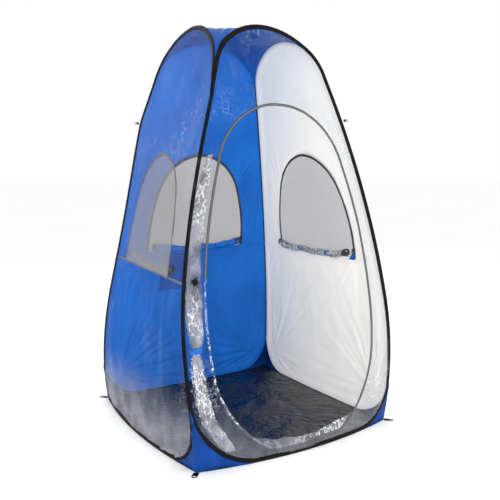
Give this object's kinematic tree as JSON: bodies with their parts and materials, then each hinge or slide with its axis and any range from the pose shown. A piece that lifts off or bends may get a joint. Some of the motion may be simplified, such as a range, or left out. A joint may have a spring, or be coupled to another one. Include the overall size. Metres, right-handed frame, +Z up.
{
  "type": "pop-up pod shelter",
  "caption": "Upright pop-up pod shelter: four sewn steel hoops, clear front and side, blue back, white side, arched windows and a tall unzipped door.",
  "frame": {"origin": "centre of the floor, on the ground", "axes": "+Z up, -Y out of the doorway, +X to the right as seen from the door"},
  "size_m": [1.1478, 1.1478, 1.91],
  "materials": {
    "spring_steel": "brushed",
    "black_binding": "woven",
    "clear_film": "clear glossy",
    "blue_cloth": "coated polyester",
    "white_cloth": "coated polyester",
    "mesh_cloth": "fine mesh",
    "zip_tape": "woven tape",
    "zip_metal": "satin black",
    "pull_plastic": "matte",
    "tarpaulin": "glossy woven"
  },
  "bodies": {
    "shell": {"door_threshold": "clear_film", "door_zip": "zip_tape", "floor_sheet": "tarpaulin", "gusset_back_left": "blue_cloth", "gusset_back_right": "blue_cloth", "gusset_front_left": "blue_cloth", "gusset_front_right": "blue_cloth", "hoop_back": "spring_steel", "hoop_ferrules": "spring_steel", "hoop_front": "spring_steel", "hoop_left": "spring_steel", "hoop_right": "spring_steel", "panel_back_lower": "blue_cloth", "panel_back_upper": "blue_cloth", "panel_front": "clear_film", "panel_left_lower": "clear_film", "panel_left_upper": "clear_film", "panel_right_lower": "white_cloth", "panel_right_upper": "white_cloth", "pocket_back": "blue_cloth", "roof_cap": "blue_cloth", "seam_tape_back": "zip_tape", "seam_tape_left": "zip_tape", "seam_tape_right": "zip_tape", "sleeve_back": "black_binding", "sleeve_front": "black_binding", "sleeve_left": "black_binding", "sleeve_right": "black_binding", "window_corners_right": "blue_cloth", "window_mesh_back": "mesh_cloth", "window_mesh_left": "mesh_cloth", "window_mesh_right": "mesh_cloth", "window_zip_back": "zip_tape", "window_zip_left": "zip_tape", "window_zip_right": "zip_tape"},
    "door_flap_body": {"door_flap": "clear_film", "door_patch": "zip_tape", "door_tie_strap": "blue_cloth"},
    "door_toggle_body": {"door_toggle": "pull_plastic"},
    "door_slider_body": {"door_slider": "zip_metal"},
    "door_pull_body": {"door_pull": "pull_plastic"},
    "window_flap_left_body": {"window_flap_left": "clear_film"},
    "window_slider_left_body": {"window_slider_left": "zip_metal"},
    "window_pull_left_body": {"window_pull_left": "pull_plastic"},
    "window_flap_back_body": {"window_flap_back": "blue_cloth", "window_ties_back": "blue_cloth"},
    "window_slider_back_body": {"window_slider_back": "zip_metal"},
    "window_pull_back_body": {"window_pull_back": "pull_plastic"},
    "window_flap_right_body": {"window_flap_right": "clear_film", "window_ties_right": "blue_cloth"},
    "window_slider_right_body": {"window_slider_right": "zip_metal"},
    "window_pull_right_body": {"window_pull_right": "pull_plastic"},
    "peg_loop_front_left_body": {"peg_loop_front_left": "black_binding"},
    "tie_out_front_left_body": {"tie_out_front_left": "black_binding"},
    "peg_loop_front_right_body": {"peg_loop_front_right": "black_binding"},
    "tie_out_front_right_body": {"tie_out_front_right": "black_binding"},
    "peg_loop_back_right_body": {"peg_loop_back_right": "black_binding"},
    "tie_out_back_right_body": {"tie_out_back_right": "black_binding"},
    "peg_loop_back_left_body": {"peg_loop_back_left": "black_binding"},
    "tie_out_back_left_body": {"tie_out_back_left": "black_binding"}
  },
  "joints": [
    {"name": "door_flap_swing", "type": "hinge", "parent": "shell", "child": "door_flap_body", "pos_m": [-0.418, -0.53394, 0.08092], "axis": [-0.0596, -0.1026, -0.9929], "range_deg": [0, 60]},
    {"name": "toggle_turn", "type": "hinge", "parent": "door_flap_body", "child": "door_toggle_body", "pos_m": [-0.433, -0.51662, 0.51465], "axis": [0, 1, 0], "range_deg": [-60, 60]},
    {"name": "door_slider_travel", "type": "slide", "parent": "shell", "child": "door_slider_body", "axis": [0.1353, 0.165, 0.977], "range_m": [0, 0.15]},
    {"name": "door_pull_swing", "type": "hinge", "parent": "door_slider_body", "child": "door_pull_body", "pos_m": [-0.411, -0.4975, 0.83852], "axis": [1, 0, 0], "range_deg": [0, 120]},
    {"name": "window_flap_left_drop", "type": "hinge", "parent": "shell", "child": "window_flap_left_body", "pos_m": [-0.51009, 0, 0.79955], "axis": [0, 1, 0], "range_deg": [0, 60]},
    {"name": "window_slider_left_travel", "type": "slide", "parent": "shell", "child": "window_slider_left_body", "axis": [0.1662, -0.112, 0.9797], "range_m": [0, 0.15]},
    {"name": "window_pull_left_swing", "type": "hinge", "parent": "window_slider_left_body", "child": "window_pull_left_body", "pos_m": [-0.49672, 0.319, 0.84352], "axis": [0, -1, 0], "range_deg": [0, 120]},
    {"name": "window_flap_back_drop", "type": "hinge", "parent": "shell", "child": "window_flap_back_body", "pos_m": [0, 0.51009, 0.79955], "axis": [1, 0, 0], "range_deg": [0, 60]},
    {"name": "window_slider_back_travel", "type": "slide", "parent": "shell", "child": "window_slider_back_body", "axis": [-0.112, -0.1662, 0.9797], "range_m": [0, 0.15]},
    {"name": "window_pull_back_swing", "type": "hinge", "parent": "window_slider_back_body", "child": "window_pull_back_body", "pos_m": [0.319, 0.49672, 0.84352], "axis": [-1, 0, 0], "range_deg": [0, 120]},
    {"name": "window_flap_right_drop", "type": "hinge", "parent": "shell", "child": "window_flap_right_body", "pos_m": [0.51009, 0, 0.79955], "axis": [0, -1, 0], "range_deg": [0, 60]},
    {"name": "window_slider_right_travel", "type": "slide", "parent": "shell", "child": "window_slider_right_body", "axis": [-0.1662, 0.112, 0.9797], "range_m": [0, 0.15]},
    {"name": "window_pull_right_swing", "type": "hinge", "parent": "window_slider_right_body", "child": "window_pull_right_body", "pos_m": [0.49672, -0.319, 0.84352], "axis": [0, 1, 0], "range_deg": [0, 120]},
    {"name": "peg_loop_front_left_lift", "type": "hinge", "parent": "shell", "child": "peg_loop_front_left_body", "pos_m": [-0.53783, -0.53783, 0.001], "axis": [-0.7071, 0.7071, 0], "range_deg": [0, 60]},
    {"name": "tie_out_front_left_swing", "type": "hinge", "parent": "shell", "child": "tie_out_front_left_body", "pos_m": [-0.37359, -0.37359, 1.497], "axis": [-0.7071, 0.7071, 0], "range_deg": [-75, 75]},
    {"name": "peg_loop_front_right_lift", "type": "hinge", "parent": "shell", "child": "peg_loop_front_right_body", "pos_m": [0.53783, -0.53783, 0.001], "axis": [-0.7071, -0.7071, 0], "range_deg": [0, 60]},
    {"name": "tie_out_front_right_swing", "type": "hinge", "parent": "shell", "child": "tie_out_front_right_body", "pos_m": [0.37359, -0.37359, 1.497], "axis": [-0.7071, -0.7071, 0], "range_deg": [-75, 75]},
    {"name": "peg_loop_back_right_lift", "type": "hinge", "parent": "shell", "child": "peg_loop_back_right_body", "pos_m": [0.53783, 0.53783, 0.001], "axis": [0.7071, -0.7071, 0], "range_deg": [0, 60]},
    {"name": "tie_out_back_right_swing", "type": "hinge", "parent": "shell", "child": "tie_out_back_right_body", "pos_m": [0.37359, 0.37359, 1.497], "axis": [0.7071, -0.7071, 0], "range_deg": [-75, 75]},
    {"name": "peg_loop_back_left_lift", "type": "hinge", "parent": "shell", "child": "peg_loop_back_left_body", "pos_m": [-0.53783, 0.53783, 0.001], "axis": [0.7071, 0.7071, 0], "range_deg": [0, 60]},
    {"name": "tie_out_back_left_swing", "type": "hinge", "parent": "shell", "child": "tie_out_back_left_body", "pos_m": [-0.37359, 0.37359, 1.497], "axis": [0.7071, 0.7071, 0], "range_deg": [-75, 75]}
  ]
}
